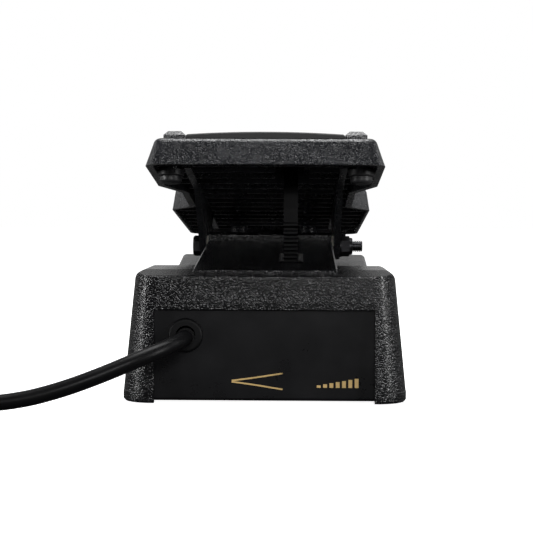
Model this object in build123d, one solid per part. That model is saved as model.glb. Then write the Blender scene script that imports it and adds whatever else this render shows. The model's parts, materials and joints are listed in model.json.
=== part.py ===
from build123d import *
from math import acos, asin, cos, degrees, pi, radians, sin, sqrt, tan
import os

# Rocking foot pedal with a captive lead. X runs across, -Y to the toe and lead end, +Y to the heel, +Z up.
# The origin is on the floor, under the middle of the housing. Units are millimetres.

# ---- driving dimensions: housing ----
BASE_WIDTH = 106.9
BASE_LENGTH = 254.0
RIM_UNDERSIDE = 0.3
RIM_TOP = 4.7
RIM_PROUD = 0.17
DECK_Z = 49.7
DECK_WIDTH = 97.3
FRONT_EDGE_Z = 47.5
VALLEY_Z = 42.3
HEEL_PAD_Z = 47.9
HEEL_PAD_HALF_WIDTH = 48.0
HEEL_PAD_Y = (68.0, 115.0)
SLOPE_Y = (-74.0, -60.0)
WALL = 3.2
SHOULDER_RADIUS = 4.7
FRONT_EDGE_RADIUS = 1.3
CORNER_RADIUS = 12.0
END_DRAFT = 1.7
OPENING_HALF_WIDTH = 41.1
OPENING_TOP = 35.2
SADDLE_HALF_WIDTH = 27.5
SADDLE_LENGTH = 236.0
SADDLE_END_Z, SADDLE_RIDGE_Z = 49.5, 58.4
RIDGE_HALF, RIDGE_TOP = 4.8, 61.6
SLOT = (4.9, 14.5, -93.8, -60.0)

# ---- driving dimensions: floor plate, feet and lead entry ----
SHEET = 1.5
PLATE_Z = 0.9
PANEL_Y = -123.0
PANEL_TOP = 37.0
PANEL_HALF = 43.0
FOOT_RADIUS = 8.0
FOOT_X, FOOT_Y = 38.0, 96.0
BOSS_X, BOSS_Y = 41.5, 112.0
GROMMET_X, GROMMET_Z = -29.4, 25.4
GROMMET_RADIUS = 6.45
GROMMET_BORE = 3.7

# ---- driving dimensions: pivot and treadle ----
PIVOT_Z = 55.5
REST_TILT = -6.96
BOLT_RADIUS = 2.5
BUSH_OUTER, BUSH_INNER = 3.5, 2.55
BUSH_FLANGE_RADIUS, BUSH_FLANGE = 4.7, 0.9
LUG_INNER, LUG_OUTER, LUG_RADIUS = 28.5, 31.2, 6.0
TOE_Y, HEEL_Y = -130.0, 123.0
RIM_LOCAL_Z, TOP_LOCAL_Z = 18.0, 28.4
RIM_HALF, WAIST_HALF = 44.7, 36.6
HEEL_FRONT_HALF, HEEL_BACK_HALF = 45.5, 43.9
TOE_NECK_Y = (-68.0, -47.0)
TOP_EDGE_RADIUS = 2.5
FLARE = 19.0
HEEL_FLARE_SHARE = 0.42
SKIRT = 2.4
CEILING_LOCAL_Z = 25.4
RAIL_INNER, RAIL_OUTER, RAIL_HEIGHT = 29.8, 38.0, 2.9
RAIL_SLOPE = 1.65
RIB_PITCH = 16.0
TOE_BUMPER_X, TOE_BUMPER_Y = 36.5, -107.0
HEEL_BUMPER_X, HEEL_BUMPER_Y = 18.0, 105.0
TOE_BUMPER_LOW, HEEL_BUMPER_LOW = 13.7, 8.1

# ---- driving dimensions: strap, pinion and potentiometer ----
MODULE = 1.0
STRAP_PITCH_RADIUS = 91.0
PINION_TEETH = 13
PRESSURE_ANGLE = 20.0
TOOTH_THINNING = 0.16
STRAP_X = (6.7, 12.3)
STRAP_BACK_RADIUS = 86.4
MESH_ANGLE = 12.0
PINION_RADIUS = MODULE * PINION_TEETH / 2
CENTRE_DISTANCE = STRAP_PITCH_RADIUS + PINION_RADIUS
TOOTH_STEP = 360.0 * MODULE / (2 * STRAP_PITCH_RADIUS)
PINION_Y = -CENTRE_DISTANCE * cos(radians(MESH_ANGLE))
PINION_Z = PIVOT_Z - CENTRE_DISTANCE * sin(radians(MESH_ANGLE))
SHAFT_RADIUS = 3.0
BRACKET_X = 17.5
POT_RADIUS = 8.2

# ---- driving dimensions: lead ----
LEAD_DIAMETER = 5.8
COIL_CENTRE = (-162.0, -116.0)
COIL_MEAN_RADIUS = 34.8
COIL_RINGS = 4
COIL_LAYERS = 2
LEAD_RUN = [
    (-29.3, -116.0, 24.8), (-29.3, -129.5, 24.7), (-32.6, -141.5, 23.5), (-42.5, -149.3, 20.2),
    (-56.0, -152.8, 14.7), (-71.0, -154.9, 9.1), (-86.0, -155.8, 4.5), (-102.0, -156.3, 3.0),
    (-125.0, -157.3, 3.0), (-148.0, -159.4, 3.0),
]
LEAD_TAIL = [
    (-205.4, -116.0, 8.7), (-205.9, -99.0, 8.6), (-204.6, -82.5, 7.6), (-201.0, -67.0, 6.2),
    (-196.5, -53.0, 6.2),
]


def rod(radius, low, high, x=0.0, y=0.0, z=0.0, along="X"):
    """Cylinder between low and high on the named axis, through the other two coordinates."""
    plane = {"X": Plane.YZ, "Y": Plane.XZ, "Z": Plane.XY}[along]
    start = {"X": (low, y, z), "Y": (x, high, z), "Z": (x, y, low)}[along]
    return extrude(Plane(start, x_dir=plane.x_dir, z_dir=plane.z_dir) * Circle(radius), high - low)


def block(x_range, y_range, z_range):
    """Box between three pairs of limits."""
    size = [limits[1] - limits[0] for limits in (x_range, y_range, z_range)]
    middle = [(limits[1] + limits[0]) / 2 for limits in (x_range, y_range, z_range)]
    return Pos(*middle) * Box(*size)


def side_face(line):
    """Face in the YZ plane inside an open or closed line."""
    if not line.is_closed:
        line = line + Line(line @ 1, line @ 0)
    return Plane.YZ * make_face(line)


def side_solid(line, low, high):
    """Side outline (Y, Z) extruded from X = low to X = high."""
    return Pos(low, 0, 0) * extrude(side_face(line), high - low)


def drafted_block(bottom, top, z_bottom, z_top, bottom_radius, top_radius):
    """Ruled block between two rounded rectangles."""
    low = Pos(0, 0, z_bottom) * RectangleRounded(*bottom, bottom_radius)
    high = Pos(0, 0, z_top) * RectangleRounded(*top, top_radius)
    return loft([low.face(), high.face()], ruled=True)


def treadle_frame(shape):
    """Moves a shape from the treadle's own frame, whose origin is on the pivot, to its place at rest."""
    return Pos(0, 0, PIVOT_Z) * Rot(REST_TILT, 0, 0) * shape


# ---- housing ----
def end_y(z):
    """Distance of the drafted end faces from the middle at this height."""
    return BASE_LENGTH / 2 - RIM_PROUD - END_DRAFT * (z - RIM_TOP) / (DECK_Z - RIM_TOP)


def side_x(z):
    """Distance of the drafted side faces from the middle at this height."""
    bottom = BASE_WIDTH / 2 - RIM_PROUD
    return bottom - (bottom - DECK_WIDTH / 2) * (z - RIM_TOP) / (DECK_Z - RIM_TOP)


def deck_line(drop, foot_z):
    """Open side profile of the deck: toe ramp, toe deck, then the lower waist to the heel, lowered by drop."""
    deck, waist = DECK_Z - drop, VALLEY_Z - drop
    toe, heel = end_y(FRONT_EDGE_Z) - 0.03, end_y(VALLEY_Z) - 0.03
    foot = end_y(foot_z) - 0.03
    return FilletPolyline((-foot, foot_z), (-toe, FRONT_EDGE_Z - drop), (-114, deck), (SLOPE_Y[0], deck),
                          (SLOPE_Y[1], waist), (heel, waist), (foot, foot_z),
                          radius=[FRONT_EDGE_RADIUS, 9, 9, 9, 3])


def shoulder_face(y, z_top):
    """Cross section of the body with rounded shoulders."""
    low, high = side_x(RIM_TOP), side_x(z_top)
    line = FilletPolyline((-low, RIM_TOP), (-high, z_top), (high, z_top), (low, RIM_TOP), radius=SHOULDER_RADIUS)
    return Pos(0, y, 0) * (Plane.XZ * make_face(line + Line((low, RIM_TOP), (-low, RIM_TOP))))


def shouldered_body():
    """Body with rounded shoulders that follow the deck down to the waist."""
    high, low = SLOPE_Y
    toe = extrude(shoulder_face(high, DECK_Z), 80)
    slope = loft([shoulder_face(high, DECK_Z).face(), shoulder_face(low, VALLEY_Z).face()], ruled=True)
    heel = extrude(shoulder_face(low, VALLEY_Z), -190)
    return toe + slope + heel


def heel_pad(drop, inset):
    """Raised ramp at the heel end of the deck."""
    low, high = HEEL_PAD_Y
    line = Polyline((low + inset, VALLEY_Z - 4 - drop), (low + inset, VALLEY_Z - 0.2 - drop),
                    (high, HEEL_PAD_Z - drop), (119 - inset, HEEL_PAD_Z - drop),
                    (120.5 - inset, VALLEY_Z - 4 - drop), close=True)
    return side_solid(line, -HEEL_PAD_HALF_WIDTH + inset, HEEL_PAD_HALF_WIDTH - inset)


def saddle_line():
    """Side profile of the wedge shaped saddle up to the pivot ridge."""
    end = SADDLE_LENGTH / 2
    return Polyline((-end, VALLEY_Z - 2), (-end, SADDLE_END_Z), (-RIDGE_HALF, SADDLE_RIDGE_Z),
                    (RIDGE_HALF, SADDLE_RIDGE_Z), (end, SADDLE_END_Z), (end, VALLEY_Z - 2), close=True)


def saddle_hollow_line():
    """Inside of the saddle, which leaves a solid core round the pivot bore."""
    end = SADDLE_LENGTH / 2 - 6
    return Polyline((-end, 30), (-end, DECK_Z - WALL), (-10, SADDLE_RIDGE_Z - WALL - 0.4), (-8, 48.6), (8, 48.6),
                    (10, SADDLE_RIDGE_Z - WALL - 0.4), (end, DECK_Z - WALL), (end, 30), close=True)


def base_shell():
    body_top = 52.0
    bottom = (2 * side_x(RIM_TOP), 2 * end_y(RIM_TOP))
    top = (2 * side_x(body_top), 2 * end_y(body_top))
    hull = drafted_block(bottom, top, RIM_TOP, body_top, CORNER_RADIUS, 9.5)
    body = hull & shouldered_body()
    body &= side_solid(deck_line(0, RIM_UNDERSIDE), -60, 60)
    rim_face = Pos(0, 0, RIM_UNDERSIDE) * RectangleRounded(BASE_WIDTH, BASE_LENGTH, CORNER_RADIUS + RIM_PROUD)
    rim = extrude(rim_face, RIM_TOP - RIM_UNDERSIDE)
    rim = fillet(rim.edges().group_by(Axis.Z)[-1], 0.7)
    rim = chamfer(rim.edges().group_by(Axis.Z)[0], 0.8)
    saddle = side_solid(saddle_line(), -SADDLE_HALF_WIDTH, SADDLE_HALF_WIDTH)
    slopes = [e for e in saddle.edges() if e.center().Z > SADDLE_END_Z + 0.5 and abs(e.center().X) > 5]
    saddle = chamfer(slopes, 0.7)
    ridge = block((-SADDLE_HALF_WIDTH, SADDLE_HALF_WIDTH), (-RIDGE_HALF, RIDGE_HALF), (50, RIDGE_TOP))
    ridge = fillet(ridge.edges().filter_by(Axis.X).group_by(Axis.Z)[-1], 1.6)
    pad = heel_pad(0, 0)
    pad = fillet([e for e in pad.edges() if e.center().Z > VALLEY_Z], 2.4) & hull
    shell = body + rim + pad + saddle + ridge

    inner_length = -2 * (PANEL_Y - 0.1)
    inner_bottom, inner_top = bottom[0] - 2 * WALL, DECK_WIDTH - 2 * WALL
    cavity = drafted_block((inner_bottom, inner_length), (inner_top, inner_length), -1, DECK_Z, 4, 2.5)
    cavity &= side_solid(deck_line(WALL, -1), -60, 60)
    saddle_hollow = side_solid(saddle_hollow_line(), -SADDLE_HALF_WIDTH + WALL, SADDLE_HALF_WIDTH - WALL)
    shell -= cavity + saddle_hollow + heel_pad(WALL, WALL)
    for x in (-BOSS_X, BOSS_X):
        for y in (-BOSS_Y, BOSS_Y):
            boss_top = DECK_Z - 2 if y < 0 else HEEL_PAD_Z - 2
            shell += rod(4.0, PLATE_Z + SHEET, boss_top, x, y, along="Z")
            shell -= Pos(x, y, PLATE_Z) * sunk_head()
    shell -= block((-OPENING_HALF_WIDTH, OPENING_HALF_WIDTH), (-140, PANEL_Y + 1), (-1, OPENING_TOP))
    ledge = block((-OPENING_HALF_WIDTH - 2, OPENING_HALF_WIDTH + 2), (-140, -125.35), (OPENING_TOP - 1, OPENING_TOP + 2.4))
    shell -= ledge
    shell -= block(SLOT[:2], SLOT[2:], (VALLEY_Z - 4, 62))
    return shell - rod(BUSH_OUTER, -40, 40, z=PIVOT_Z)


def bottom_plate():
    """Sheet steel floor whose toe end is bent up into the end panel."""
    half_width = (BASE_WIDTH - 2 * RIM_PROUD) / 2 - WALL - 0.6
    heel = -PANEL_Y - 0.6
    floor = block((-half_width, half_width), (PANEL_Y, heel), (PLATE_Z, PLATE_Z + SHEET))
    floor = fillet([e for e in floor.edges().filter_by(Axis.Z) if e.center().Y > 0], 7)
    panel = block((-PANEL_HALF, PANEL_HALF), (PANEL_Y, PANEL_Y + SHEET), (PLATE_Z, PANEL_TOP))
    plate = floor + panel
    plate = fillet([e for e in plate.edges().filter_by(Axis.X)
                    if abs(e.center().Y - PANEL_Y) < 0.01 and abs(e.center().Z - PLATE_Z) < 0.01], 1.2)
    for x in (-half_width, half_width):
        plate -= block((x - 5.5, x + 5.5), (PANEL_Y - 1, PANEL_Y + 6), (0, 10))
    for x in (-BOSS_X, BOSS_X):
        for y in (-BOSS_Y, BOSS_Y):
            plate -= Pos(x, y, PLATE_Z) * sunk_head()
    for x, y in bracket_screw_places():
        plate -= rod(1.25, 0, 10, x, y, along="Z")
    return plate - rod(GROMMET_RADIUS - 1.6, PANEL_Y - 1, PANEL_Y + 3, x=GROMMET_X, z=GROMMET_Z, along="Y")


def pan_screw(radius, head_radius, head, length, cross):
    """Pan head screw that points up, with its head's underside at Z = 0, and a cross recess below."""
    screw = rod(radius, 0, length, along="Z") + rod(head_radius, -head, 0, along="Z")
    screw = fillet(screw.edges().group_by(Axis.Z)[0], head * 0.45)
    recess = Box(cross * 2, cross * 0.45, head) + Box(cross * 0.45, cross * 2, head)
    return screw - Pos(0, 0, -head) * recess


def sunk_head():
    """Countersunk screw from its flat face at Z = 0 up, without its recess."""
    cone = Cone(2.9, 1.25, 1.65, align=(Align.CENTER, Align.CENTER, Align.MIN))
    return cone + rod(1.25, 1.0, 10.5, along="Z")


def bottom_plate_screws():
    screw = sunk_head() - Box(3.2, 0.7, 1.6) - Box(0.7, 3.2, 1.6)
    places = [(x, y) for x in (-BOSS_X, BOSS_X) for y in (-BOSS_Y, BOSS_Y)]
    return [Pos(x, y, PLATE_Z) * screw for x, y in places]


def foot(x, y):
    pad = rod(FOOT_RADIUS, 0, PLATE_Z, x, y, along="Z")
    return fillet(pad.edges().group_by(Axis.Z)[0], 0.4)


def grommet():
    """Round rubber grommet with a groove that holds the sheet of the end panel."""
    front, back = PANEL_Y - 1.5, PANEL_Y + SHEET + 1.5
    ring = rod(GROMMET_RADIUS, front, PANEL_Y, GROMMET_X, 0, GROMMET_Z, "Y")
    ring = fillet(ring.edges().group_by(Axis.Y)[0], 1.1)
    ring += rod(GROMMET_RADIUS, PANEL_Y + SHEET, back, GROMMET_X, 0, GROMMET_Z, "Y")
    ring += rod(GROMMET_RADIUS - 1.6, front + 0.5, back - 0.5, GROMMET_X, 0, GROMMET_Z, "Y")
    return ring - rod(GROMMET_BORE, front - 1, back + 1, GROMMET_X, 0, GROMMET_Z, "Y")


# ---- pivot ----
def pivot_bush(side):
    """Flanged bush pressed into the saddle's ridge; its flange keeps the lug off the housing."""
    inner, outer = sorted((side * (SADDLE_HALF_WIDTH - 12), side * SADDLE_HALF_WIDTH))
    flange = sorted((side * SADDLE_HALF_WIDTH, side * (SADDLE_HALF_WIDTH + BUSH_FLANGE)))
    bush = rod(BUSH_OUTER, inner, outer, z=PIVOT_Z) + rod(BUSH_FLANGE_RADIUS, *flange, z=PIVOT_Z)
    return bush - rod(BUSH_INNER, -40, 40, z=PIVOT_Z)


def pivot_bolt():
    head_inner = -LUG_OUTER
    head = Pos(head_inner - 3.4, 0, PIVOT_Z) * extrude(Plane.YZ * RegularPolygon(4.62, 6, rotation=30), 3.4)
    crown = Pos(head_inner - 3.4, 0, PIVOT_Z) * Rot(0, 90, 0) * Cone(3.9, 8.2, 4.0, align=(Align.CENTER, Align.CENTER, Align.MIN))
    bolt = (head & crown) + rod(BOLT_RADIUS, head_inner, 41.5, z=PIVOT_Z)
    bolt = chamfer(bolt.edges().group_by(Axis.X)[-1], 0.5)
    for i in range(5):
        groove = rod(BOLT_RADIUS + 1, 37.2 + 0.8 * i, 37.6 + 0.8 * i, z=PIVOT_Z)
        bolt -= groove - rod(BOLT_RADIUS - 0.45, 37, 42, z=PIVOT_Z)
    return bolt


def pivot_washer():
    return rod(4.9, LUG_OUTER, LUG_OUTER + 0.9, z=PIVOT_Z) - rod(BOLT_RADIUS, 30, 34, z=PIVOT_Z)


def pivot_nut():
    """Lock nut: hexagon with a round collar at its outer end."""
    start = LUG_OUTER + 0.9
    hexagon = Pos(start, 0, PIVOT_Z) * extrude(Plane.YZ * RegularPolygon(4.62, 6, rotation=30), 3.6)
    crown = Pos(start, 0, PIVOT_Z) * Rot(0, 90, 0) * Cone(6.3, 4.0, 4.4, align=(Align.CENTER, Align.CENTER, Align.MIN))
    collar = fillet(rod(3.8, start + 3.4, start + 5.0, z=PIVOT_Z).edges().group_by(Axis.X)[-1], 0.7)
    return (hexagon & crown) + collar - rod(BOLT_RADIUS, 30, 42, z=PIVOT_Z)


# ---- treadle, drawn in its own frame ----
def treadle_outline(inset):
    """Plan of the treadle: wide toe section, waist, wide heel section with steeper sides."""
    rim, waist, heel_inset = RIM_HALF - inset, WAIST_HALF - inset, inset * HEEL_FLARE_SHARE
    toe, heel = TOE_Y + inset, HEEL_Y - inset
    right = [(rim, toe), (rim, TOE_NECK_Y[0] - inset * 0.4), (waist, TOE_NECK_Y[1] - inset * 0.4),
             (waist, 2.5 + inset * 0.4),
             (HEEL_FRONT_HALF - heel_inset, 14.0 + inset * 0.4), (HEEL_BACK_HALF - heel_inset, heel)]
    radii = [max(6.5 - inset, 1.5), 4, 5, 8, 3, max(6.5 - inset, 1.5)]
    left = [(-x, y) for x, y in reversed(right)]
    line = FilletPolyline(*right, *left, radius=radii + radii[::-1], close=True)
    return make_face(line)


def treadle_solid(inset_low, inset_high, z_low, z_high):
    low = Pos(0, 0, z_low) * treadle_outline(inset_low)
    high = Pos(0, 0, z_high) * treadle_outline(inset_high)
    return loft([low.face(), high.face()], ruled=True)


def web(side):
    """Longitudinal web that deepens into the pivot lug."""
    low, high = sorted((side * LUG_INNER, side * LUG_OUTER))
    run, level = 54.0, RIM_LOCAL_Z + 1.0
    lean = degrees(asin(LUG_RADIUS / sqrt(run**2 + level**2)))
    angle = degrees(pi / 2 - acos(level / sqrt(run**2 + level**2))) + lean
    touch = (LUG_RADIUS * sin(radians(angle)), -LUG_RADIUS * cos(radians(angle)))
    line = Polyline((-112, 26), (-112, level), (-run, level), (-touch[0], touch[1]), touch, (run, level),
                    (108, level), (108, 26), close=True)
    return side_solid(line, low, high) + rod(LUG_RADIUS, low, high)


def bumper_boss(x, y, floor_z):
    return rod(4.4, floor_z, CEILING_LOCAL_Z + 0.5, x, y, along="Z")


def treadle_plate():
    flare = (TOP_LOCAL_Z - RIM_LOCAL_Z) * tan(radians(FLARE))
    outer = treadle_solid(0, flare, RIM_LOCAL_Z, TOP_LOCAL_Z)
    outer = fillet(outer.edges().group_by(Axis.Z)[-1], TOP_EDGE_RADIUS)
    depth = CEILING_LOCAL_Z - RIM_LOCAL_Z + 1
    cavity = treadle_solid(SKIRT, SKIRT + depth * tan(radians(FLARE)), RIM_LOCAL_Z - 1, CEILING_LOCAL_Z)
    plate = outer - cavity
    ribs = [block((-60, 60), (y - 0.7, y + 0.7), (19.6, CEILING_LOCAL_Z + 0.5))
            for y in [RIB_PITCH * i for i in range(-7, 8)]]
    ribs += [block((x - 0.7, x + 0.7), (-122, 116), (20.6, CEILING_LOCAL_Z + 0.5)) for x in (-16.0, 0.0, 16.0)]
    ribbing = Part() + ribs
    plate += ribbing & treadle_solid(SKIRT - 0.6, SKIRT - 0.6 + depth * tan(radians(FLARE)),
                                     RIM_LOCAL_Z - 1, CEILING_LOCAL_Z)
    plate += [web(-1), web(1)]
    plate += block((-38, 38), (HEEL_Y - SKIRT, HEEL_Y - 0.5), (RIM_LOCAL_Z - 1.6, RIM_LOCAL_Z + 2))
    plate -= block((3.4, 16.8), (-97, -64), (0, CEILING_LOCAL_Z))
    for side in (-1, 1):
        for x, y, floor_z in ((side * TOE_BUMPER_X, TOE_BUMPER_Y, 19.0), (side * HEEL_BUMPER_X, HEEL_BUMPER_Y, 13.0)):
            plate += bumper_boss(x, y, floor_z)
            plate -= rod(2.0, floor_z - 1, floor_z + 6, x, y, along="Z")
        low, high = sorted((side * RAIL_INNER, side * RAIL_OUTER))
        rail = block((low, high), (TOE_Y + 5.0, HEEL_Y - 5.0), (TOP_LOCAL_Z - 0.5, TOP_LOCAL_Z + RAIL_HEIGHT))
        plate += chamfer(rail.edges().group_by(Axis.Z)[-1], RAIL_SLOPE)
    for x, y in strap_screw_places():
        plate -= rod(1.25, 20, TOP_LOCAL_Z - 0.8, x, y, along="Z")
    plate -= rod(BOLT_RADIUS, -40, 40)
    return treadle_frame(plate)


def tread_mat():
    """Rubber mat between the rails, crowned across."""
    half, edge, crown = RAIL_INNER - 0.15, 1.5, 2.5
    section = Polyline((-half, edge), (-half, 0), (half, 0), (half, edge))
    section += ThreePointArc((half, edge), (0, crown), (-half, edge))
    start, end = TOE_Y + 4.6, HEEL_Y - 4.6
    plane = Plane((0, end, TOP_LOCAL_Z), x_dir=(1, 0, 0), z_dir=(0, -1, 0))
    return treadle_frame(extrude(plane * make_face(section), end - start))


def bumper(x, y, top_z, wide, narrow, bottom_z):
    """Two-tier rubber bumper with a stem that is pushed into its boss."""
    step = (top_z + bottom_z) / 2
    pad = rod(wide, step, top_z, x, y, along="Z")
    pad = fillet(pad.edges().group_by(Axis.Z)[0], 0.8)
    nose = rod(narrow, bottom_z, step + 0.5, x, y, along="Z")
    nose = fillet(nose.edges().group_by(Axis.Z)[0], 1.4)
    stem = rod(2.0, top_z, top_z + 5.0, x, y, along="Z")
    return treadle_frame(pad + nose + stem)


# ---- gear teeth ----
def involute(angle):
    return tan(angle) - angle


def half_tooth(teeth, radius):
    """Half of the angle, in radians, that a tooth covers at this radius."""
    pitch = MODULE * teeth / 2
    base = pitch * cos(radians(PRESSURE_ANGLE))
    lean = acos(min(1.0, base / max(radius, base)))
    return (pi / teeth - TOOTH_THINNING / pitch) / 2 + involute(radians(PRESSURE_ANGLE)) - involute(lean)


def tooth_points(teeth, middle, radii):
    """Points of one tooth about the angle middle, up one flank and down the other."""
    up = [(r, middle - half_tooth(teeth, r)) for r in radii]
    down = [(r, middle + half_tooth(teeth, r)) for r in reversed(radii)]
    return [(r * cos(a), r * sin(a)) for r, a in up + down]


def strap_angle(tooth):
    """Angle of a strap tooth, in degrees below the treadle's own -Y direction."""
    return MESH_ANGLE - REST_TILT + (tooth + 0.5) * TOOTH_STEP


def strap_point(radius, below):
    return (-radius * cos(radians(below)), -radius * sin(radians(below)))


def strap_screw_places():
    return [(9.5, -79.5), (9.5, -71.0)]


def gear_strap():
    """Curved rack centred on the pivot, with a foot that is screwed to the treadle."""
    strap_teeth = round(2 * STRAP_PITCH_RADIUS / MODULE)
    radii = [STRAP_PITCH_RADIUS + MODULE * step for step in (-1.2, -0.5, 0.1, 0.7)]
    root = radii[0]
    bottom = strap_angle(1) + TOOTH_STEP * 0.9
    top = -16.3
    outline = [strap_point(STRAP_BACK_RADIUS, top), strap_point(root, top)]
    outline += [strap_point(root, angle) for angle in (-12.0, -8.0, -4.0)]
    for tooth in range(-10, 2):
        flank = tooth_points(strap_teeth, pi + radians(strap_angle(tooth)), radii)
        outline += flank
    outline += [strap_point(root, bottom), strap_point(STRAP_BACK_RADIUS, bottom)]
    inner = ThreePointArc(strap_point(STRAP_BACK_RADIUS, bottom), strap_point(STRAP_BACK_RADIUS, (top + bottom) / 2),
                          strap_point(STRAP_BACK_RADIUS, top))
    strap = side_solid(Polyline(*outline) + inner, *STRAP_X)
    strap &= block((0, 20), (-100, -70), (-60, CEILING_LOCAL_Z))
    strap += block((4.4, 14.6), (-91.0, -66.0), (CEILING_LOCAL_Z - 2.2, CEILING_LOCAL_Z))
    for x, y in strap_screw_places():
        strap -= rod(1.25, 10, 40, x, y, along="Z")
    return treadle_frame(strap)


def strap_screws():
    screw = pan_screw(1.25, 2.6, 1.6, 4.2, 1.4)
    return [treadle_frame(Pos(x, y, CEILING_LOCAL_Z - 2.2) * screw) for x, y in strap_screw_places()]


def at_pinion(shape):
    return Pos(0, PINION_Y, PINION_Z) * shape


def pinion_gear():
    """Pinion with a hub; one tooth points at the pivot."""
    radii = [PINION_RADIUS + MODULE * step for step in (-1.15, -0.4, 0.3, 0.95)]
    points = []
    for tooth in range(PINION_TEETH):
        points += tooth_points(PINION_TEETH, radians(MESH_ANGLE) + 2 * pi * tooth / PINION_TEETH, radii)
    gear = side_solid(Polyline(*points, close=True), STRAP_X[0] - 0.1, STRAP_X[1] + 0.1)
    gear += rod(5.0, 0.6, STRAP_X[0] - 0.1)
    gear -= rod(SHAFT_RADIUS, -5, 20)
    return at_pinion(gear - rod(1.25, 0, 8, x=3.4, along="Z"))


def pinion_set_screw():
    screw = rod(1.25, SHAFT_RADIUS, 5.0, x=3.4, along="Z")
    return at_pinion(screw - Pos(3.4, 0, 5.0) * extrude(RegularPolygon(0.75, 6), 2.0, both=True))


def pot_shaft():
    """Shaft that turns in the bushing and carries the wiper's rotor."""
    shaft = rod(SHAFT_RADIUS, 0.2, 21.2) + rod(5.6, 21.2, 22.2)
    return at_pinion(chamfer(shaft.edges().group_by(Axis.X)[0], 0.4))


def pot_wiper():
    """Sprung contact on the rotor."""
    return at_pinion(block((22.2, 22.6), (-1.5, 1.5), (-5.2, 5.4)) + block((22.6, 23.0), (-1.5, 1.5), (3.9, 5.4)))


def pot_bushing():
    flange = block((BRACKET_X + 1.5, BRACKET_X + 2.5), (-7.0, 7.0), (-7.0, 7.0))
    barrel = rod(3.5 + 0.45, BRACKET_X - 4.4, BRACKET_X + 1.5)
    return at_pinion(flange + barrel - rod(SHAFT_RADIUS + 0.05, 0, 30))


def pot_case():
    can = fillet(rod(POT_RADIUS, BRACKET_X + 2.5, BRACKET_X + 10.5).edges().group_by(Axis.X)[-1], 1.0)
    return at_pinion(can - rod(POT_RADIUS - 0.6, BRACKET_X + 1, BRACKET_X + 9.9))


def pot_wafer():
    """Resistance wafer at the back of the can, with a tongue for the terminals."""
    disc = rod(POT_RADIUS - 0.65, 23.4, 24.6)
    return at_pinion(disc)


def pot_terminals():
    tags = []
    for y in (-5.0, 0.0, 5.0):
        tag = block((BRACKET_X + 10.5, BRACKET_X + 11.1), (y - 1.1, y + 1.1), (-12.5, -2.0))
        tags.append(at_pinion(tag - rod(0.6, 20, 40, y=y, z=-11.0)))
    return tags


def pot_washer():
    ring = rod(5.6, BRACKET_X - 0.6, BRACKET_X) - rod(3.95, 0, 30)
    return at_pinion(ring)


def pot_nut():
    nut = Pos(BRACKET_X - 2.6, 0, 0) * extrude(Plane.YZ * RegularPolygon(5.8, 6), 2.0)
    return at_pinion(nut - rod(3.95, 0, 30))


def bracket_screw_places():
    return [(25.5, PINION_Y - 6.5), (25.5, PINION_Y + 6.5)]


def pot_bracket():
    """Steel angle that stands on the floor plate."""
    base_z = PLATE_Z + SHEET
    wall = block((BRACKET_X, BRACKET_X + 1.5), (PINION_Y - 10, PINION_Y + 10), (base_z, PINION_Z + 9.0))
    wall = fillet([e for e in wall.edges().filter_by(Axis.X) if e.center().Z > PINION_Z], 4)
    floor = block((BRACKET_X, BRACKET_X + 13.5), (PINION_Y - 10, PINION_Y + 10), (base_z, base_z + 1.5))
    bracket = wall + floor - at_pinion(rod(3.95, 10, 30))
    for x, y in bracket_screw_places():
        bracket -= rod(1.25, 0, 10, x, y, along="Z")
    return bracket


def bracket_screws():
    screw = Rot(180, 0, 0) * pan_screw(1.25, 2.5, 1.5, 2.8, 1.3)
    return [Pos(x, y, PLATE_Z + SHEET + 1.5) * screw for x, y in bracket_screw_places()]


# ---- lead ----
def tube(points, radius):
    """Round tube along straight runs joined by arcs as large as the runs allow; prints its radii."""
    corners = [Vector(*p) for p in points]
    radii = []
    for before, here, after in zip(corners, corners[1:], corners[2:]):
        run_in, run_out = here - before, after - here
        turn = radians(run_in.get_angle(run_out))
        radii.append(0.45 * min(run_in.length, run_out.length) / tan(turn / 2))
    path = FilletPolyline(*points, radius=radii)
    start = Plane(path @ 0, z_dir=path % 0)
    solid = sweep(start * Circle(radius), path=path)
    print("tube radii", [round(r, 1) for r in radii], "length", round(path.length, 1),
          "volume ratio", round(solid.volume / (pi * radius**2 * path.length), 4))
    return solid


def lead_run():
    return tube(LEAD_RUN, LEAD_DIAMETER / 2)


def lead_coil():
    """Outer shape of the tied coil."""
    half_band = LEAD_DIAMETER * COIL_RINGS / 2
    height = LEAD_DIAMETER * COIL_LAYERS
    ring = rod(COIL_MEAN_RADIUS + half_band, 0, height, *COIL_CENTRE, along="Z")
    ring -= rod(COIL_MEAN_RADIUS - half_band, -1, height + 1, *COIL_CENTRE, along="Z")
    return fillet(ring.edges(), LEAD_DIAMETER * 0.42)


def coil_tie(angle):
    """Strap round the section of the coil at this angle, in degrees from +X."""
    half_band = LEAD_DIAMETER * COIL_RINGS / 2
    height = LEAD_DIAMETER * COIL_LAYERS
    outside = Box(2 * half_band + 2.4, 9.0, height + 1.2, align=(Align.CENTER, Align.CENTER, Align.MIN))
    outside = fillet(outside.edges().filter_by(Axis.Y), 3.0)
    tie = Rot(0, 0, angle) * Pos(COIL_MEAN_RADIUS, 0, 0) * outside
    return Pos(*COIL_CENTRE, 0) * tie - lead_coil()


def lead_tail():
    return tube(LEAD_TAIL, LEAD_DIAMETER / 2)


def plug_frame(shape):
    """Moves a plug piece, drawn along +X from the lead's entry, to the end of the lead's tail."""
    before, last = Vector(*LEAD_TAIL[-2]), Vector(*LEAD_TAIL[-1])
    heading = last - before
    flat = Vector(heading.X, heading.Y, 0)
    return Plane(last, x_dir=flat.normalized(), z_dir=(0, 0, 1)) * shape


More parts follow.
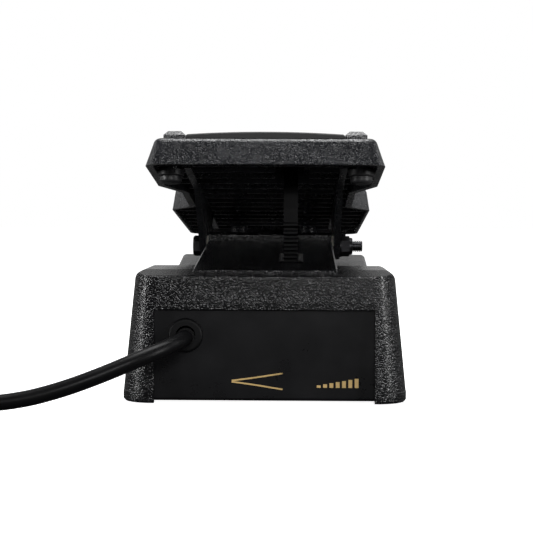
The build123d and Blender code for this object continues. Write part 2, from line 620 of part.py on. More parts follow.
def plug_boot():
    """Tapered strain relief with grooves."""
    boot = Rot(0, 90, 0) * Cone(3.9, 5.2, 18, align=(Align.CENTER, Align.CENTER, Align.MIN))
    for i in range(5):
        boot -= rod(8, 2.5 + 3.1 * i, 3.7 + 3.1 * i) - rod(3.4, 0, 20)
    return plug_frame(boot)


def plug_grip():
    grip = fillet(rod(6.1, 18, 50).edges(), 1.2)
    return plug_frame(grip)


def plug_sleeve():
    sleeve = rod(3.175, 50, 70) + rod(4.6, 50, 51.6)
    return plug_frame(sleeve)


def plug_ring():
    return plug_frame(rod(3.175, 71, 73.6))


def plug_insulators():
    return [plug_frame(rod(3.0, 70, 71)), plug_frame(rod(3.0, 73.6, 74.6))]


def plug_tip():
    """Tip contact: neck and rounded cone."""
    neck = Rot(0, 90, 0) * Cone(3.1, 2.2, 3.0, align=(Align.CENTER, Align.CENTER, Align.MIN))
    nose = Rot(0, 90, 0) * Cone(3.17, 0.9, 3.4, align=(Align.CENTER, Align.CENTER, Align.MIN))
    return plug_frame(Pos(74.6, 0, 0) * neck + rod(3.17, 77.6, 78.2) + Pos(78.2, 0, 0) * nose)


# ---- lead inside the housing ----
def lead_tie():
    """Tie round the lead behind the grommet, with its locking head."""
    x, y, z = LEAD_RUN[0]
    radius = LEAD_DIAMETER / 2
    band = rod(radius + 1.2, y + 0.4, y + 3.6, x, 0, z, "Y") + block((x - 2, x + 2), (y, y + 4.2), (z + 1, z + 6.5))
    return band - rod(radius, y - 1, y + 6, x, 0, z, "Y")


def pot_wires():
    """Three wires from the end of the lead's jacket to the terminals."""
    x, y, z = LEAD_RUN[0]
    wires = []
    for i, offset in enumerate((-1.4, 0.0, 1.4)):
        terminal_y = PINION_Y - 5 + 5 * i
        terminal_z = PINION_Z - 12.5
        start = (x + offset, y, z)
        level, bend_x = 10.0 + 2.0 * i, BRACKET_X + 17
        points = [start, (x + offset, y + 6, z), (x + 6 + offset, y + 6, level), (bend_x, y + 6, level),
                  (bend_x, terminal_y, level), (BRACKET_X + 10.8, terminal_y, terminal_z - 5),
                  (BRACKET_X + 10.8, terminal_y, terminal_z)]
        path = FilletPolyline(*points, radius=[2.5, 2.5, 2.5, 2.5, 1.5])
        wires.append(sweep(Plane(path @ 0, z_dir=path % 0) * Circle(0.6), path=path))
    return wires


def save(name, shape):
    """Writes one node as one file; a list is a group of separate solids."""
    solids = shape if isinstance(shape, list) else shape.solids()
    export_step(solids[0] if len(solids) == 1 else Compound(children=list(solids)), f"parts/{name}.step")


PIECES = {
    "base_shell": base_shell,
    "bottom_plate": bottom_plate,
    "bottom_plate_screws": bottom_plate_screws,
    "cable_grommet": grommet,
    "pivot_bush_left": lambda: pivot_bush(-1),
    "pivot_bush_right": lambda: pivot_bush(1),
    "pivot_bolt": pivot_bolt,
    "pivot_washer": pivot_washer,
    "pivot_nut": pivot_nut,
    "treadle_plate": treadle_plate,
    "tread_mat": tread_mat,
    "gear_strap": gear_strap,
    "strap_screws": strap_screws,
    "pinion_gear": pinion_gear,
    "pinion_set_screw": pinion_set_screw,
    "pot_shaft": pot_shaft,
    "pot_wiper": pot_wiper,
    "pot_bushing": pot_bushing,
    "pot_case": pot_case,
    "pot_wafer": pot_wafer,
    "pot_terminals": pot_terminals,
    "pot_washer": pot_washer,
    "pot_nut": pot_nut,
    "pot_bracket": pot_bracket,
    "bracket_screws": bracket_screws,
    "pot_wires": pot_wires,
    "lead_tie": lead_tie,
    "lead_run": lead_run,
    "lead_coil": lead_coil,
    "coil_tie_front": lambda: coil_tie(-20),
    "coil_tie_back": lambda: coil_tie(100),
    "lead_tail": lead_tail,
    "plug_boot": plug_boot,
    "plug_grip": plug_grip,
    "plug_sleeve": plug_sleeve,
    "plug_ring": plug_ring,
    "plug_insulators": plug_insulators,
    "plug_tip": plug_tip,
}

os.makedirs("parts", exist_ok=True)
for piece_name, make in PIECES.items():
    save(piece_name, make())
for end_name, end_y in (("front", -FOOT_Y), ("rear", FOOT_Y)):
    for side_name, side in (("left", -1), ("right", 1)):
        save(f"foot_{end_name}_{side_name}", foot(side * FOOT_X, end_y))
for side_name, side in (("left", -1), ("right", 1)):
    save(f"toe_bumper_{side_name}", bumper(side * TOE_BUMPER_X, TOE_BUMPER_Y, 19.0, 5.1, 4.2, TOE_BUMPER_LOW))
    save(f"heel_bumper_{side_name}", bumper(side * HEEL_BUMPER_X, HEEL_BUMPER_Y, 13.0, 5.5, 4.4, HEEL_BUMPER_LOW))
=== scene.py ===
import bpy
import bmesh
import json
import math
from mathutils import Matrix, Vector


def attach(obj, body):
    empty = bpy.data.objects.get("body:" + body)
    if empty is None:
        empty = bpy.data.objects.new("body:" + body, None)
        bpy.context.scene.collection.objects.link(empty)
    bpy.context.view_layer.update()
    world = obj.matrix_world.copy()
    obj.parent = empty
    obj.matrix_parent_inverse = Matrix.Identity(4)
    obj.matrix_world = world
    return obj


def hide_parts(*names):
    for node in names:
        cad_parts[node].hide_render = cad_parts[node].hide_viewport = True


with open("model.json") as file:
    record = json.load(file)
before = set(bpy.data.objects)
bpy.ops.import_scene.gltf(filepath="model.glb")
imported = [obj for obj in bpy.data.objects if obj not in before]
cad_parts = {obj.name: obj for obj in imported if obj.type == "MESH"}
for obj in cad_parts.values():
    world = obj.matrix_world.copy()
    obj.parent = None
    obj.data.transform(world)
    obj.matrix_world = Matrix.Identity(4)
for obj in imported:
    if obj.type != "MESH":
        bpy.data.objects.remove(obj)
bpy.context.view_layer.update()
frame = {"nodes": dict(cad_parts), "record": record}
nodes = frame["nodes"]
scene = bpy.context.scene
MM = 0.001


# ---- camera: low, in front of the toe end ----
CAMERA_PLACE = (0.01125, -0.6980, 0.0744)
YAW, PITCH, ROLL = math.radians(1.055), math.radians(-2.313), math.radians(0.22)
camera_data = bpy.data.cameras.new("camera")
camera_data.sensor_width = 36.0
camera_data.lens = 104.5
camera = bpy.data.objects.new("camera", camera_data)
scene.collection.objects.link(camera)
turn = Matrix.Rotation(YAW, 4, "Z") @ Matrix.Rotation(math.pi / 2 + PITCH, 4, "X") @ Matrix.Rotation(ROLL, 4, "Z")
camera.matrix_world = Matrix.Translation(CAMERA_PLACE) @ turn
scene.camera = camera


# ---- node helpers ----
def nodes_of(material):
    return material.node_tree.nodes, material.node_tree.links


def add(tree_nodes, kind, **values):
    """New shader node; a value whose name is an input's name (with _ for spaces) sets that input."""
    node = tree_nodes.new(kind)
    for key, value in values.items():
        socket = node.inputs.get(key.replace("_", " "))
        if socket is not None and not hasattr(node, key):
            socket.default_value = value
        else:
            setattr(node, key, value)
    return node


def ramp(tree_nodes, stops):
    """Color Ramp with grey stops given as (position, level) or (position, colour)."""
    node = tree_nodes.new("ShaderNodeValToRGB")
    elements = node.color_ramp.elements
    while len(elements) < len(stops):
        elements.new(0.5)
    for element, (position, level) in zip(elements, stops):
        element.position = position
        element.color = (level, level, level, 1) if isinstance(level, float) else (*level, 1)
    return node


def blank(name):
    material = bpy.data.materials.new(name)
    material.use_nodes = True
    tree_nodes, links = nodes_of(material)
    tree_nodes.clear()
    shader = tree_nodes.new("ShaderNodeBsdfPrincipled")
    output = tree_nodes.new("ShaderNodeOutputMaterial")
    links.new(shader.outputs[0], output.inputs["Surface"])
    place = tree_nodes.new("ShaderNodeTexCoord")
    return material, tree_nodes, links, shader, place


def uneven(tree, links, shader, place, noise, colors, rough, smudge):
    """Slow noise of (scale, detail) that moves the tint between two colours, and the gloss; gives the tint node."""
    scale, detail = noise
    wide = add(tree, "ShaderNodeTexNoise", Scale=scale, Detail=detail, Roughness=0.6)
    links.new(place.outputs["Object"], wide.inputs["Vector"])
    tint = ramp(tree, [(0.3, colors[0]), (0.7, colors[1])])
    links.new(wide.outputs["Fac"], tint.inputs[0])
    spread = add(tree, "ShaderNodeMapRange")
    spread.inputs["From Min"].default_value = 0.25
    spread.inputs["From Max"].default_value = 0.75
    spread.inputs["To Min"].default_value = max(0.02, rough - smudge)
    spread.inputs["To Max"].default_value = min(1.0, rough + smudge)
    links.new(wide.outputs["Fac"], spread.inputs["Value"])
    links.new(spread.outputs[0], shader.inputs["Roughness"])
    return tint


def pebbled_with_painted_glints(name, color, rough, size, depth, painted_glint_level):
    """Moulded plastic with pebble grain of size and depth in metres, plus painted glints at the level of the last
    argument.
    """
    material, tree, links, shader, place = blank(name)
    cells = add(tree, "ShaderNodeTexVoronoi", Scale=1.0 / size, Randomness=1.0)
    links.new(place.outputs["Object"], cells.inputs["Vector"])
    domes = ramp(tree, [(0.0, 1.0), (0.3, 0.8), (0.65, 0.0)])
    links.new(cells.outputs["Distance"], domes.inputs[0])
    fine = add(tree, "ShaderNodeTexNoise", Scale=1.1 / size, Detail=2.0)
    links.new(place.outputs["Object"], fine.inputs["Vector"])
    height = add(tree, "ShaderNodeMath", operation="MULTIPLY_ADD")
    height.inputs[1].default_value = 0.6
    links.new(fine.outputs["Fac"], height.inputs[0])
    links.new(domes.outputs[0], height.inputs[2])
    bump = add(tree, "ShaderNodeBump", Strength=1.0, Distance=depth)
    links.new(height.outputs[0], bump.inputs["Height"])
    links.new(bump.outputs[0], shader.inputs["Normal"])
    tints = tuple(c * 0.72 for c in color), tuple(min(1.0, c * 1.35) for c in color)
    tint = uneven(tree, links, shader, place, (45.0, 4.0), tints, rough, 0.07)
    # Painted glints: bright specks in the base colour at the middles of random grain cells, standing in for highlights.
    painted_glint_cells = add(tree, "ShaderNodeTexVoronoi", Scale=0.8 / size, Randomness=1.0)
    links.new(place.outputs["Object"], painted_glint_cells.inputs["Vector"])
    chosen = ramp(tree, [(0.55, 0.0), (0.95, 1.0)])
    links.new(painted_glint_cells.outputs["Color"], chosen.inputs[0])
    painted_glint_tops = ramp(tree, [(0.15, 1.0), (0.5, 0.0)])
    links.new(painted_glint_cells.outputs["Distance"], painted_glint_tops.inputs[0])
    painted_glint_mask = add(tree, "ShaderNodeMath", operation="MULTIPLY")
    links.new(chosen.outputs[0], painted_glint_mask.inputs[0])
    links.new(painted_glint_tops.outputs[0], painted_glint_mask.inputs[1])
    painted_glint_color = add(tree, "ShaderNodeMixRGB")
    painted_glint_color.inputs[2].default_value = (painted_glint_level, painted_glint_level, painted_glint_level * 1.05, 1.0)
    links.new(painted_glint_mask.outputs[0], painted_glint_color.inputs[0])
    links.new(tint.outputs[0], painted_glint_color.inputs[1])
    links.new(painted_glint_color.outputs[0], shader.inputs["Base Color"])
    return material


def finish_of(name, color, rough, grain, metallic=0.0, specular=0.5, speckle=0.15):
    """Smooth or lightly textured surface; grain is (scale per metre, depth in metres, stretch) of its fine bump."""
    material, tree, links, shader, place = blank(name)
    tints = tuple(c * (1 - speckle) for c in color), tuple(min(1.0, c * (1 + speckle)) for c in color)
    tint = uneven(tree, links, shader, place, (60.0, 5.0), tints, rough, 0.05)
    links.new(tint.outputs[0], shader.inputs["Base Color"])
    scale, depth, stretch = grain
    mapping = add(tree, "ShaderNodeMapping")
    mapping.inputs["Scale"].default_value = stretch
    links.new(place.outputs["Object"], mapping.inputs["Vector"])
    fine = add(tree, "ShaderNodeTexNoise", Scale=scale, Detail=4.0, Roughness=0.65)
    links.new(mapping.outputs[0], fine.inputs["Vector"])
    bump = add(tree, "ShaderNodeBump", Strength=1.0, Distance=depth)
    links.new(fine.outputs["Fac"], bump.inputs["Height"])
    links.new(bump.outputs[0], shader.inputs["Normal"])
    shader.inputs["Metallic"].default_value = metallic
    shader.inputs["Specular IOR Level"].default_value = specular
    return material


EVEN = (1.0, 1.0, 1.0)
finishes = {
    # Housing and treadle: pebble grain plus painted glints; the last number is the level of the painted glints.
    "housing_plastic": pebbled_with_painted_glints("pebbled_housing_painted_glints", (0.0034, 0.0034, 0.0040), 0.2, 0.00066, 0.000085, 0.13),
    "treadle_plastic": pebbled_with_painted_glints("pebbled_treadle_painted_glints", (0.0100, 0.0106, 0.0130), 0.28, 0.00062, 0.000075, 0.12),
    "panel_steel": finish_of("satin_panel", (0.0075, 0.0075, 0.0085), 0.3, specular=0.25, grain=(2600, 0.00001, EVEN)),
    "mat_rubber": finish_of("mat_rubber", (0.014, 0.014, 0.015), 0.62, grain=(2200, 0.00004, EVEN)),
    "bumper_rubber": finish_of("bumper_rubber", (0.016, 0.016, 0.017), 0.42, grain=(1500, 0.00002, EVEN)),
    "black_steel": finish_of("black_oxide", (0.02, 0.02, 0.022), 0.33, metallic=0.85, grain=(900, 0.00002, EVEN)),
    "zinc_steel": finish_of("bright_zinc", (0.58, 0.58, 0.6), 0.3, metallic=1.0, grain=(500, 0.00001, (1, 6, 1))),
    "bush_nylon": finish_of("natural_nylon", (0.7, 0.67, 0.6), 0.45, grain=(900, 0.00001, EVEN)),
    "gear_nylon": finish_of("black_nylon", (0.002, 0.002, 0.0023), 0.5, specular=0.08, grain=(1200, 0.00001, EVEN)),
    "shaft_alloy": finish_of("turned_alloy", (0.66, 0.66, 0.68), 0.28, metallic=1.0, grain=(300, 0.00002, (12, 1, 1))),
    "contact_brass": finish_of("brass", (0.72, 0.55, 0.25), 0.3, metallic=1.0, grain=(800, 0.00001, EVEN)),
    "phenolic": finish_of("phenolic", (0.22, 0.11, 0.045), 0.55, grain=(700, 0.00003, EVEN), speckle=0.4),
    "wire_pvc": finish_of("wire_pvc", (0.35, 0.04, 0.04), 0.35, grain=(900, 0.00001, EVEN)),
    "lead_pvc": finish_of("lead_jacket", (0.0035, 0.0035, 0.004), 0.38, specular=0.16, grain=(700, 0.00003, EVEN)),
    "tie_nylon": finish_of("tie_fabric", (0.012, 0.012, 0.013), 0.8, grain=(2500, 0.0002, (1, 1, 3))),
    "plug_plastic": finish_of("plug_grip", (0.014, 0.014, 0.015), 0.45, grain=(1800, 0.00003, EVEN)),
    "plug_nickel": finish_of("nickel", (0.72, 0.7, 0.66), 0.14, metallic=1.0, speckle=0.04,
                             grain=(300, 0.000004, EVEN)),
}
slots = {part["node"]: part["material_slot"] for part in frame["record"]["subparts"]}


def paint(obj, slot_name):
    obj.data.materials.clear()
    obj.data.materials.append(finishes[slot_name])


for node_name, node in nodes.items():
    paint(node, slots[node_name])
grommet_rubber = finish_of("grommet_rubber", (0.003, 0.003, 0.0035), 0.5, specular=0.16, grain=(1500, 0.00002, EVEN))
nodes["cable_grommet"].data.materials[0] = grommet_rubber


# ---- lead ----
LEAD_DIAMETER = 5.8
COIL_CENTRE, COIL_RADIUS, COIL_RINGS, COIL_TURNS = (-162.0, -116.0), 34.8, 4, 7.25
TURN_POINTS = 24
LEAD_RUN = [
    (-29.3, -116.0, 24.8), (-29.3, -129.5, 24.7), (-32.6, -141.5, 23.4), (-42.5, -149.3, 19.7),
    (-56.0, -152.8, 14.0), (-71.0, -154.9, 8.5), (-86.0, -155.8, 4.6), (-102.0, -156.3, 3.1),
    (-125.0, -157.3, 3.0), (-148.0, -159.4, 3.0),
]
LEAD_TAIL = [
    (-205.9, -99.0, 8.6), (-204.6, -82.5, 7.6), (-201.0, -67.0, 6.2), (-196.5, -53.0, 6.2),
]


def eased(value):
    value = min(1.0, max(0.0, value))
    return value * value * (3 - 2 * value)


def coil_points():
    """Turns wound clockwise inwards on the floor, then outwards on top; the last sixth of a turn moves one ring."""
    points = []
    share = 1 / 6
    for step in range(int(COIL_TURNS * TURN_POINTS) + 1):
        turns = step / TURN_POINTS
        whole, part = int(turns), turns - int(turns)
        shift = eased((part - (1 - share)) / share)
        if turns < COIL_RINGS - 1:
            ring = whole + shift
        elif turns < COIL_RINGS:
            ring = COIL_RINGS - 1
        else:
            ring = 2 * COIL_RINGS - 1 - whole - shift
        rise = eased((turns - (COIL_RINGS - 2 * share)) / share)
        radius = COIL_RADIUS + ((COIL_RINGS - 1) / 2 - ring) * LEAD_DIAMETER
        angle = math.radians(270) - 2 * math.pi * turns
        points.append((COIL_CENTRE[0] + radius * math.cos(angle), COIL_CENTRE[1] + radius * math.sin(angle),
                       LEAD_DIAMETER * (0.5 + rise)))
    return points


def cord_curve(name, points, diameter):
    curve = bpy.data.curves.new(name, "CURVE")
    curve.dimensions = "3D"
    spline = curve.splines.new("NURBS")
    spline.points.add(len(points) - 1)
    for control, point in zip(spline.points, points):
        control.co = (*[value * MM for value in point], 1.0)
    spline.order_u = 3
    spline.use_endpoint_u = True
    spline.resolution_u = 6
    curve.bevel_depth = diameter / 2 * MM
    curve.bevel_resolution = 6
    curve.use_fill_caps = True
    obj = bpy.data.objects.new(name, curve)
    scene.collection.objects.link(obj)
    return obj


lead = cord_curve("lead", LEAD_RUN + coil_points() + LEAD_TAIL, LEAD_DIAMETER)
paint(lead, "lead_pvc")
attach(lead, "housing")
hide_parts("lead_run", "lead_coil", "lead_tail")


# ---- mesh helpers ----
def new_piece(name, mesh, body, slot_name, *stands_for, smooth=40):
    for polygon in mesh.polygons:
        polygon.use_smooth = True
    mesh.set_sharp_from_angle(angle=math.radians(smooth))
    obj = bpy.data.objects.new(name, mesh)
    scene.collection.objects.link(obj)
    paint(obj, slot_name)
    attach(obj, body)
    if stands_for:
        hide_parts(*stands_for)
    return obj


def grid_mesh(name, rows, closed_across=False, caps=True):
    """Quads between rows of equally many points; closed_across joins each row into a ring, caps closes the ends."""
    count = len(rows[0])
    points = [point for row in rows for point in row]
    faces = []
    for r in range(len(rows) - 1):
        for c in range(count if closed_across else count - 1):
            a, b = r * count + c, r * count + (c + 1) % count
            faces.append((a, b, b + count, a + count))
    if caps and closed_across:
        faces.append(tuple(reversed(range(count))))
        faces.append(tuple((len(rows) - 1) * count + c for c in range(count)))
    mesh = bpy.data.meshes.new(name)
    mesh.from_pydata([tuple(Vector(p)) for p in points], [], faces)
    work = bmesh.new()
    work.from_mesh(mesh)
    bmesh.ops.recalc_face_normals(work, faces=work.faces)
    work.to_mesh(mesh)
    work.free()
    mesh.update()
    return mesh


def placed(mesh, matrix):
    """Scales a mesh drawn in millimetres to metres and moves it, in millimetres, by matrix."""
    mesh.transform(Matrix.Scale(MM, 4) @ matrix)
    return mesh


def turned(name, profile, segments=64, ripple=None):
    """Surface of revolution about X through (x, radius) points; ripple(x, angle) is added to the radius."""
    rows = []
    for x, radius in profile:
        row = []
        for k in range(segments):
            angle = 2 * math.pi * k / segments
            r = radius + (ripple(x, angle) if ripple else 0.0)
            row.append((x, r * math.cos(angle), r * math.sin(angle)))
        rows.append(row)
    return grid_mesh(name, rows, closed_across=True)


# ---- tread mat: crowned rubber with cross ribs ----
PIVOT_Z, REST_TILT = 55.5, math.radians(-6.96)
MAT_HALF, MAT_BASE, MAT_START, MAT_END = 29.65, 28.4, -125.4, 118.4
RIB_PITCH, RIB_DEPTH = 6.0, 0.8
in_treadle = Matrix.Translation((0, 0, PIVOT_Z)) @ Matrix.Rotation(REST_TILT, 4, "X")


def rib_cut(y, x):
    """Depth of the groove at this point; the borders stay full."""
    border = min(MAT_HALF - abs(x), y - MAT_START, MAT_END - y)
    phase = ((y - MAT_START) % RIB_PITCH) / RIB_PITCH
    wave = eased((abs(phase - 0.5) - 0.2) / 0.12)
    return RIB_DEPTH * wave * eased((border - 1.6) / 0.9)


def mat_top(x, y):
    thickness = 1.5 + 1.0 * (1 - (x / MAT_HALF) ** 2)
    edge = min(MAT_HALF - abs(x), y - MAT_START, MAT_END - y)
    rounding = 0.5 * (1 - eased(edge / 0.6))
    return MAT_BASE + thickness - rounding - rib_cut(y, x)


def mat_mesh():
    across = [-29.65, -29.5, -29.3, -29.05, -28.4, -27.9, -27.5, -27.1] + [-25.5 + 3.4 * i for i in range(16)]
    across += [27.1, 27.5, 27.9, 28.4, 29.05, 29.3, 29.5, 29.65]
    along = [MAT_START + v for v in (0.0, 0.15, 0.35, 0.6)]
    steps = int((MAT_END - MAT_START) / 0.5)
    along += [MAT_START + 0.5 * i for i in range(2, steps - 1)]
    along += [MAT_END - v for v in (0.6, 0.35, 0.15, 0.0)]
    rows = []
    for y in along:
        top = [(x, y, mat_top(x, y)) for x in across]
        base = [(x, y, MAT_BASE) for x in (29.65, 20.0, 0.0, -20.0, -29.65)]
        rows.append(top + base)
    return placed(grid_mesh("tread_mat_ribbed", rows, closed_across=True), in_treadle)


new_piece("tread_mat_ribbed", mat_mesh(), "treadle", "mat_rubber", "tread_mat", smooth=50)


# ---- printed marks on the end panel: a swell hairpin and a row of rising bars ----
PANEL_FACE = -123.0
MARK_RELIEF = 0.05


def mark_prism(outline):
    """Rows of a raised print, from an outline of (x, z) points."""
    return [[(x, PANEL_FACE + 0.01, z) for x, z in outline], [(x, PANEL_FACE - MARK_RELIEF, z) for x, z in outline]]


def joined(name, groups):
    """One mesh of several closed shapes, each given as rows of points."""
    mesh = bpy.data.meshes.new(name)
    work = bmesh.new()
    for rows in groups:
        part = placed(grid_mesh("part", rows, closed_across=True), Matrix.Identity(4))
        work.from_mesh(part)
        bpy.data.meshes.remove(part)
    work.to_mesh(mesh)
    work.free()
    return mesh


def stroke(points, width):
    """Outline round a line of (x, z) points."""
    left, right = [], []
    for k, (x, z) in enumerate(points):
        x0, z0 = points[max(0, k - 1)]
        x1, z1 = points[min(len(points) - 1, k + 1)]
        length = math.hypot(x1 - x0, z1 - z0)
        nx, nz = -(z1 - z0) / length * width / 2, (x1 - x0) / length * width / 2
        left.append((x + nx, z + nz))
        right.append((x - nx, z - nz))
    return left + right[::-1]


def hairpin_line(sign):
    """One arm of the hairpin, slightly bowed."""
    return [(-12.2 + 19.0 * t, 8.3 + sign * (0.25 + 2.75 * t ** 1.15)) for t in [i / 12 for i in range(13)]]


marks = [mark_prism(stroke(hairpin_line(sign), 0.6)) for sign in (-1, 1)]
mark_hairpin = new_piece("panel_mark_swell", joined("panel_mark_swell", marks), "housing", "panel_steel")
bars = []
for k in range(7):
    left, height = 19.6 + 2.35 * k, 0.9 + 0.42 * k
    bars.append(mark_prism([(left, 6.0), (left + 1.45, 6.0), (left + 1.45, 6.0 + height), (left, 6.0 + height)]))
mark_bars = new_piece("panel_mark_bars", joined("panel_mark_bars", bars), "housing", "panel_steel")
gold = finish_of("gold_print", (0.72, 0.5, 0.2), 0.45, metallic=0.2, grain=(3000, 0.00001, EVEN), speckle=0.2)
for mark in (mark_hairpin, mark_bars):
    mark.data.materials[0] = gold


# ---- lip of the grommet, tight round the lead ----
lip_profile = [(-0.4, 2.88), (-0.4, 3.35), (-0.2, 3.55), (0.6, 3.55), (0.6, 2.88)]
at_lip = Matrix.Translation((-29.3, -123.9, 24.75)) @ Matrix.Rotation(math.radians(90), 4, "Z")
lip_mesh = placed(turned("grommet_lip", lip_profile, 48), at_lip)
grommet_lip = new_piece("grommet_lip", lip_mesh, "housing", "bumper_rubber")
grommet_lip.data.materials[0] = grommet_rubber


# ---- straps round the coil ----
def strap_mesh(name, angle):
    """Closed hook and loop strap round the bundle at this angle, with its free end lapped on top."""
    half_wide, low, high, corner = 12.2, 0.35, 12.3, 3.2
    path = []
    corners = [(half_wide - corner, high - corner, 0), (-half_wide + corner, high - corner, 90),
               (-half_wide + corner, low + corner, 180), (half_wide - corner, low + corner, 270)]
    for cx, cz, start in corners:
        for k in range(9):
            a = math.radians(start + 90 * k / 8)
            path.append((cx + corner * math.cos(a), cz + corner * math.sin(a), math.cos(a), math.sin(a)))
    rows = []
    for x, z, nx, nz in path + path[:1]:
        row = []
        for u, v in ((-4.5, 0.0), (-4.5, 0.35), (-4.1, 0.5), (0.0, 0.55), (4.1, 0.5), (4.5, 0.35), (4.5, 0.0),
                     (4.1, -0.12), (-4.1, -0.12)):
            row.append((x + nx * v, u, z + nz * v))
        rows.append(row)
    band = grid_mesh("band", rows, closed_across=True, caps=False)
    lap_rows = []
    for k in range(15):
        x = -9.0 + 16.0 * k / 14
        lift = 0.45 * eased(k / 3)
        half = 4.3 * (1 - 0.25 * max(0.0, (k - 11) / 3) ** 2)
        lap_rows.append([(x, -half, high + 0.1), (x, -half, high + 0.15 + lift), (x, half, high + 0.15 + lift),
                         (x, half, high + 0.1)])
    lap = grid_mesh("lap", lap_rows, closed_across=True)
    work = bmesh.new()
    work.from_mesh(band)
    work.from_mesh(lap)
    mesh = bpy.data.meshes.new(name)
    work.to_mesh(mesh)
    work.free()
    spin = math.radians(angle)
    place = Matrix.Translation((*COIL_CENTRE, 0)) @ Matrix.Rotation(spin, 4, "Z")
    place = place @ Matrix.Translation((COIL_RADIUS, 0, 0))
    return placed(mesh, place)


for node_name, angle in (("coil_tie_front", -20), ("coil_tie_back", 100)):
    strap = strap_mesh(f"{node_name}_strap", angle)
    new_piece(f"{node_name}_strap", strap, "housing", "tie_nylon", node_name)


# ---- plug: slotted strain relief and fluted grip ----
tail_end, tail_before = Vector(LEAD_TAIL[-1]), Vector(LEAD_TAIL[-2])
heading = math.atan2(tail_end.y - tail_before.y, tail_end.x - tail_before.x)
at_plug = Matrix.Translation(tail_end) @ Matrix.Rotation(heading, 4, "Z")


def boot_cut(x, angle):
    """Half slots that alternate between the sides."""
    along = (x - 2.2) % 2.4
    number = int((x - 2.2) / 2.4)
    if x < 2.2 or x > 16.6 or along > 1.1:
        return 0.0
    side = math.cos(angle + (0 if number % 2 else math.pi / 2))
    return -1.3 * eased((abs(side) - 0.25) / 0.15)


boot_profile = [(0.0, 3.0), (0.0, 3.7), (0.25, 3.95)]
boot_profile += [(0.5 + 0.12 * k, 3.98 + 0.0085 * k) for k in range(1, 140)] + [(17.6, 5.2), (18.0, 5.2), (18.0, 3.0)]
plug_boot = new_piece("plug_boot_slotted", placed(turned("plug_boot_slotted", boot_profile, 64, boot_cut), at_plug),
                      "housing", "lead_pvc", "plug_boot", smooth=35)


def flutes(x, angle):
    share = eased((x - 22.0) / 2.5) * eased((46.5 - x) / 2.5)
    return -0.42 * share * (0.5 - 0.5 * math.cos(22 * angle)) ** 0.8


grip_profile = [(18.0, 3.0), (18.0, 4.9), (18.2, 5.5), (18.7, 5.95), (19.3, 6.1)]
grip_profile += [(19.8 + 0.5 * k, 6.1) for k in range(59)]
grip_profile += [(49.2, 6.02), (49.7, 5.7), (50.0, 5.2), (50.0, 3.0)]
plug_grip = new_piece("plug_grip_fluted", placed(turned("plug_grip_fluted", grip_profile, 176, flutes), at_plug),
                      "housing", "plug_plastic", "plug_grip", smooth=35)


# ---- stage ----
AIM = Vector((0.0, -0.05, 0.04))


def panel_light(name, place, size, power):
    """Rectangular light aimed at the middle of the pedal."""
    light = bpy.data.lights.new(name, "AREA")
    light.shape = "RECTANGLE"
    light.size, light.size_y = size
    light.energy = power
    lamp = bpy.data.objects.new(name, light)
    scene.collection.objects.link(lamp)
    lamp.location = place
    lamp.rotation_euler = (AIM - Vector(place)).to_track_quat("-Z", "Y").to_euler()
    return lamp


world = bpy.data.worlds.new("studio")
world.use_nodes = True
scene.world = world
world_nodes, world_links = world.node_tree.nodes, world.node_tree.links
world_nodes.clear()
direction = world_nodes.new("ShaderNodeTexCoord")
split = world_nodes.new("ShaderNodeSeparateXYZ")
world_links.new(direction.outputs["Generated"], split.inputs[0])
depth_level = add(world_nodes, "ShaderNodeMapRange")
depth_level.inputs["From Min"].default_value = 0.3
depth_level.inputs["From Max"].default_value = 0.98
depth_level.inputs["To Min"].default_value = 0.03
depth_level.inputs["To Max"].default_value = 0.48
world_links.new(split.outputs["Y"], depth_level.inputs["Value"])
room = add(world_nodes, "ShaderNodeBackground", Color=(1, 1, 1, 1))
world_links.new(depth_level.outputs[0], room.inputs["Strength"])
backdrop = add(world_nodes, "ShaderNodeBackground", Color=(1, 1, 1, 1), Strength=1.0)
seen = world_nodes.new("ShaderNodeLightPath")
chosen = world_nodes.new("ShaderNodeMixShader")
world_links.new(seen.outputs["Is Camera Ray"], chosen.inputs[0])
world_links.new(room.outputs[0], chosen.inputs[1])
world_links.new(backdrop.outputs[0], chosen.inputs[2])
world_output = world_nodes.new("ShaderNodeOutputWorld")
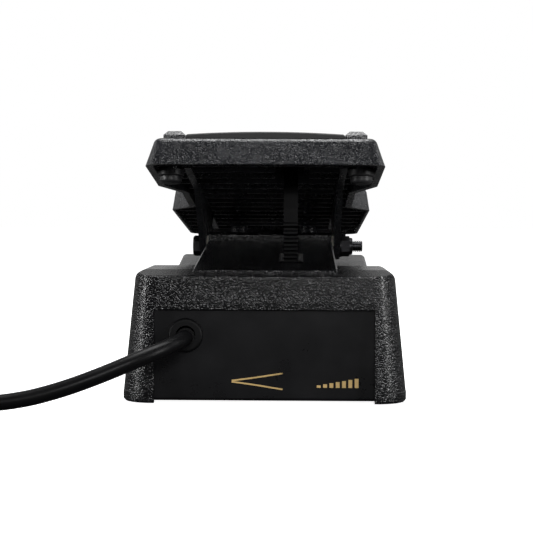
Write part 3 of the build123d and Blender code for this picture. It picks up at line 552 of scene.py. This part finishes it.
world_links.new(chosen.outputs[0], world_output.inputs[0])

floor_mesh = bpy.data.meshes.new("floor")
floor_mesh.from_pydata([(-4, -4, 0), (4, -4, 0), (4, 4, 0), (-4, 4, 0)], [], [(0, 1, 2, 3)])
floor = bpy.data.objects.new("floor", floor_mesh)
scene.collection.objects.link(floor)
floor.location.z = -0.0002
floor_paint = bpy.data.materials.new("floor_paint")
floor_paint.use_nodes = True
floor_nodes, floor_links = nodes_of(floor_paint)
floor_nodes.clear()
floor_seen = floor_nodes.new("ShaderNodeLightPath")
floor_mix = floor_nodes.new("ShaderNodeMixShader")
floor_bounce = add(floor_nodes, "ShaderNodeBsdfDiffuse", Color=(0.07, 0.07, 0.07, 1))
floor_lit = add(floor_nodes, "ShaderNodeBsdfDiffuse", Color=(0.8, 0.8, 0.8, 1))
floor_glow = add(floor_nodes, "ShaderNodeEmission", Color=(1, 1, 1, 1), Strength=0.97)
floor_sum = floor_nodes.new("ShaderNodeAddShader")
floor_out = floor_nodes.new("ShaderNodeOutputMaterial")
floor_links.new(floor_lit.outputs[0], floor_sum.inputs[0])
floor_links.new(floor_glow.outputs[0], floor_sum.inputs[1])
floor_links.new(floor_seen.outputs["Is Camera Ray"], floor_mix.inputs[0])
floor_links.new(floor_bounce.outputs[0], floor_mix.inputs[1])
floor_links.new(floor_sum.outputs[0], floor_mix.inputs[2])
floor_links.new(floor_mix.outputs[0], floor_out.inputs["Surface"])
floor_mesh.materials.append(floor_paint)

panel_light("top_box", (0.05, 0.02, 1.12), (0.7, 0.7), 13)
panel_light("left_strip", (-1.05, -0.48, 0.26), (0.06, 0.5), 5)
panel_light("right_strip", (0.98, -0.68, 0.26), (0.06, 0.5), 5)
panel_light("front_key", (0.1, -1.3, 0.38), (0.5, 0.14), 4.3)
panel_light("left_side_box", (-1.1, 0.2, 0.5), (0.5, 0.6), 2)
panel_light("right_side_box", (1.1, 0.2, 0.5), (0.5, 0.6), 2)

scene.view_settings.view_transform = "Standard"
scene.view_settings.look = "None"
